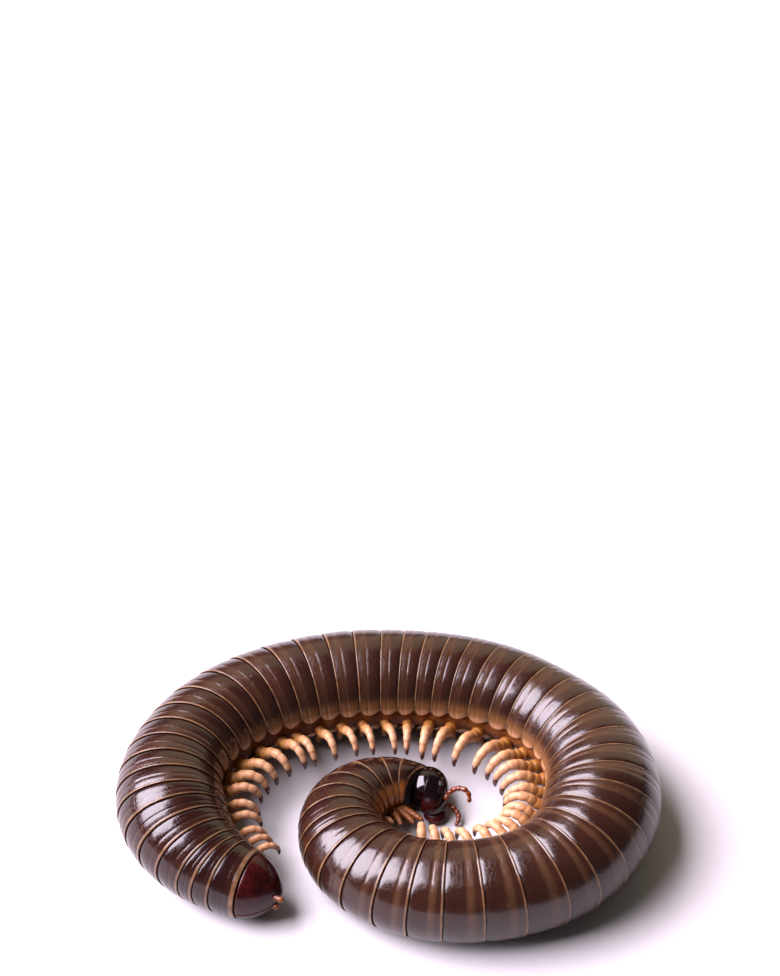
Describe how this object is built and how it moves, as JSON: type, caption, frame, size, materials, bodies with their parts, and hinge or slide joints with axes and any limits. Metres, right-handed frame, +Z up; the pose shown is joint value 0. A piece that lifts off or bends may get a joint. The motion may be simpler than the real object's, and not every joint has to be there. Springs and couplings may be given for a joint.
{
  "type": "coiled millipede model",
  "caption": "Still, life-size millipede lying coiled on its side, head inside the coil, ringed body with legs at the inner side.",
  "frame": {"origin": "centre of the bottom of the box, on the floor that the coil lies on", "axes": "+Z up, the coil lies flat in the XY plane; +X is to the right in the picture and +Y points away from its camera"},
  "size_m": [0.0474, 0.0326, 0.0102],
  "materials": {
    "ring": "glossy dark brown horn with tan rear edges, pale brown towards the belly; legs are pale orange with dark claws",
    "head": "very glossy purplish black horn",
    "jaw": "glossy dark red-brown horn",
    "antenna": "glossy red-orange joints",
    "eye": "glossy black, finely knobbed",
    "tail": "very glossy dark red horn with an orange rim"
  },
  "bodies": {
    "root": {"head": "head", "collum": "head", "jaw_plate": "jaw", "antenna_right": "antenna", "antenna_left": "antenna", "eye_right": "eye", "eye_left": "eye", "tail_ring": "ring", "tail_valve_right": "tail", "tail_valve_left": "tail", "body_01": "ring", "body_02": "ring", "body_03": "ring", "body_04": "ring", "body_05": "ring", "body_06": "ring", "body_07": "ring", "body_08": "ring", "body_09": "ring", "body_10": "ring", "body_11": "ring"}
  },
  "joints": []
}
